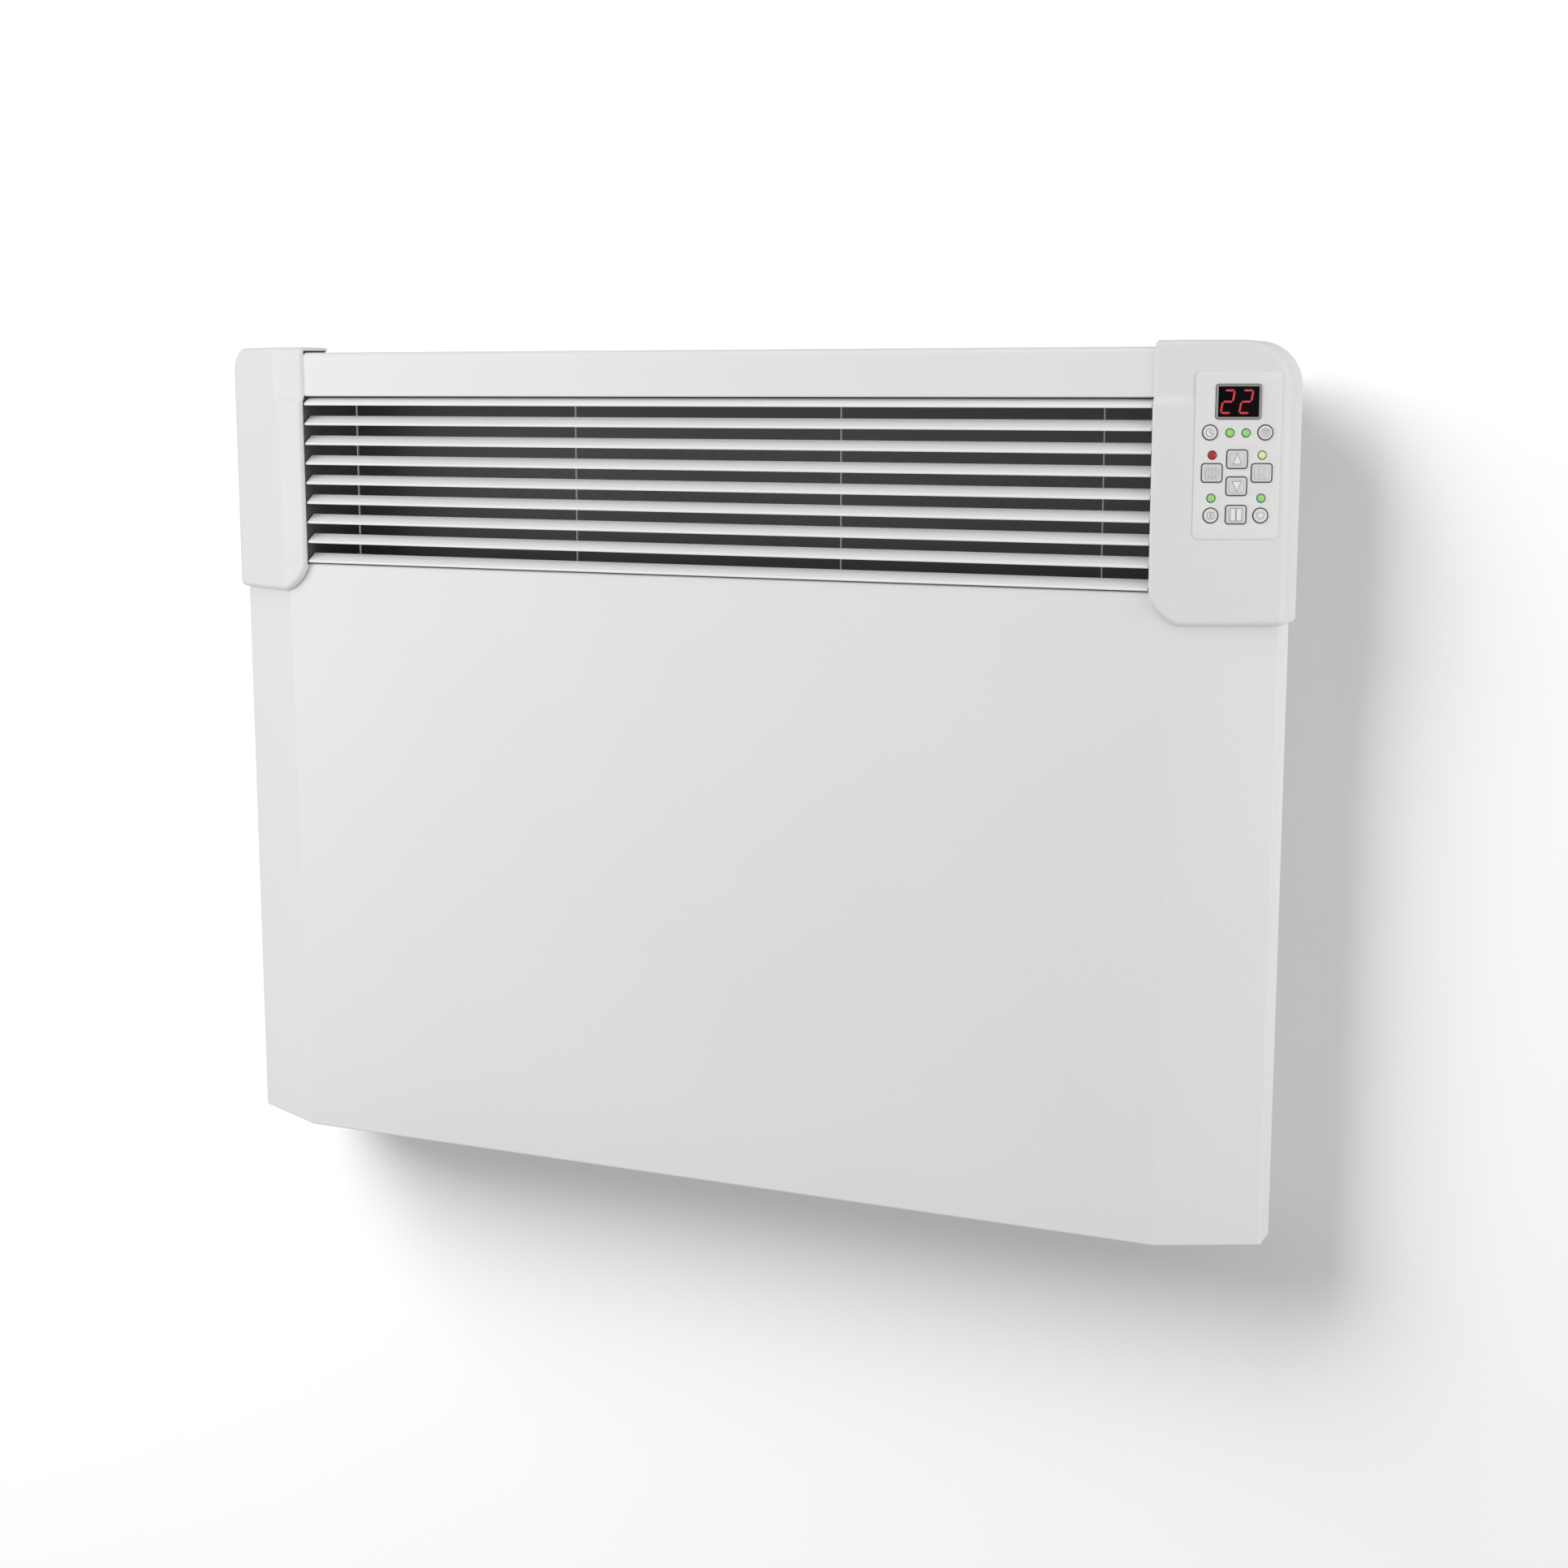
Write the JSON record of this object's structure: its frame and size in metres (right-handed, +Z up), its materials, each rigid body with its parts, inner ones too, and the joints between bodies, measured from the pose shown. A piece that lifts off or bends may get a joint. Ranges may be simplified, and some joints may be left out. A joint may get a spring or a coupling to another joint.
{
  "type": "fan convector heater",
  "caption": "Wall-hung electric convector heater with slanted side flanks, a louvred front outlet at the top, rounded end caps and a keypad with a digit display.",
  "frame": {"origin": "centre of the wall bracket's back face, on the wall at the heater's mid height", "axes": "+X to the right seen from the room, +Y into the wall, +Z up"},
  "size_m": [0.6124, 0.084, 0.45],
  "materials": {
    "casing_white": "satin powder coat, off-white",
    "blade_white": "satin powder coat, off-white",
    "cap_white": "fine satin moulding, off-white",
    "keypad_film": "smooth satin film",
    "key_grey": "satin",
    "bezel_grey": "satin grey",
    "window_black": "gloss, dark tinted",
    "led_green": "diffused lens",
    "led_red": "diffused lens",
    "led_yellow": "diffused lens",
    "duct_dark": "matt dark coat",
    "zinc": "zinc-plated sheet steel",
    "steel": "ground",
    "aluminium": "as extruded",
    "fan_blades": "grey, plain",
    "copper": "enamelled copper wire",
    "board_green": "solder mask",
    "ceramic": "glazed steatite",
    "black_plastic": "satin",
    "rubber": "matt",
    "relay_blue": "satin",
    "transformer_yellow": "taped winding",
    "lead_brown": "insulation",
    "lead_red": "insulation",
    "lead_blue": "insulation",
    "lead_grey": "insulation"
  },
  "bodies": {
    "bracket": {"wall_bracket": "zinc"},
    "fan_rotor": {"fan_impeller": "fan_blades", "fan_shaft": "steel", "motor_rotor": "steel"},
    "key_night": {"key_night": "key_grey"},
    "key_timer": {"key_timer": "key_grey"},
    "key_up": {"key_up": "key_grey"},
    "key_power": {"key_power": "key_grey"},
    "key_mode": {"key_mode": "key_grey"},
    "key_down": {"key_down": "key_grey"},
    "key_frost": {"key_frost": "key_grey"},
    "key_window": {"key_window": "key_grey"},
    "key_comfort": {"key_comfort": "key_grey"},
    "heater": {"rear_chassis": "casing_white", "front_panel": "casing_white", "top_fascia": "casing_white", "outlet_grille": "blade_white", "outlet_duct": "duct_dark", "left_end_cap": "cap_white", "keypad_overlay": "keypad_film", "led_left_top": "led_green", "led_right_top": "led_green", "led_power": "led_red", "led_mode": "led_yellow", "led_frost": "led_green", "led_comfort": "led_green", "display_bezel": "bezel_grey", "display_window": "window_black", "digit_module": "black_plastic", "control_board": "board_green", "right_end_cap": "cap_white", "fan_cradle": "zinc", "fan_bearing": "rubber", "motor_stator": "zinc", "motor_coil": "copper", "heating_element": "aluminium", "element_bush_left": "ceramic", "element_bracket_left": "zinc", "element_bush_right": "ceramic", "element_bracket_right": "zinc", "heat_shield": "zinc", "thermal_cutout": "ceramic", "inlet_grille": "duct_dark", "cable_gland": "rubber", "terminal_block": "ceramic", "power_board": "board_green", "relay": "relay_blue", "transformer": "transformer_yellow", "supply_lead": "lead_brown", "element_lead": "lead_red", "motor_lead": "lead_blue", "keypad_lead": "lead_grey", "wall_pad_left": "rubber", "wall_pad_right": "rubber"}
  },
  "joints": [
    {"name": "lift_off", "type": "slide", "parent": "bracket", "child": "heater", "axis": [0, 0, 1], "range_m": [0, 0.01]},
    {"name": "fan_spin", "type": "hinge", "parent": "heater", "child": "fan_rotor", "pos_m": [0, -0.046, -0.18], "axis": [1, 0, 0], "continuous": true},
    {"name": "press_night", "type": "slide", "parent": "heater", "child": "key_night", "axis": [-0.4179, 0.9085, 0], "range_m": [0, 0.0007], "stiffness_N_per_m": 800},
    {"name": "press_timer", "type": "slide", "parent": "heater", "child": "key_timer", "axis": [-0.4179, 0.9085, 0], "range_m": [0, 0.0007], "stiffness_N_per_m": 800},
    {"name": "press_up", "type": "slide", "parent": "heater", "child": "key_up", "axis": [-0.4179, 0.9085, 0], "range_m": [0, 0.0007], "stiffness_N_per_m": 800},
    {"name": "press_power", "type": "slide", "parent": "heater", "child": "key_power", "axis": [-0.4179, 0.9085, 0], "range_m": [0, 0.0007], "stiffness_N_per_m": 800},
    {"name": "press_mode", "type": "slide", "parent": "heater", "child": "key_mode", "axis": [-0.4179, 0.9085, 0], "range_m": [0, 0.0007], "stiffness_N_per_m": 800},
    {"name": "press_down", "type": "slide", "parent": "heater", "child": "key_down", "axis": [-0.4179, 0.9085, 0], "range_m": [0, 0.0007], "stiffness_N_per_m": 800},
    {"name": "press_frost", "type": "slide", "parent": "heater", "child": "key_frost", "axis": [-0.4179, 0.9085, 0], "range_m": [0, 0.0007], "stiffness_N_per_m": 800},
    {"name": "press_window", "type": "slide", "parent": "heater", "child": "key_window", "axis": [-0.4179, 0.9085, 0], "range_m": [0, 0.0007], "stiffness_N_per_m": 800},
    {"name": "press_comfort", "type": "slide", "parent": "heater", "child": "key_comfort", "axis": [-0.4179, 0.9085, 0], "range_m": [0, 0.0007], "stiffness_N_per_m": 800}
  ]
}
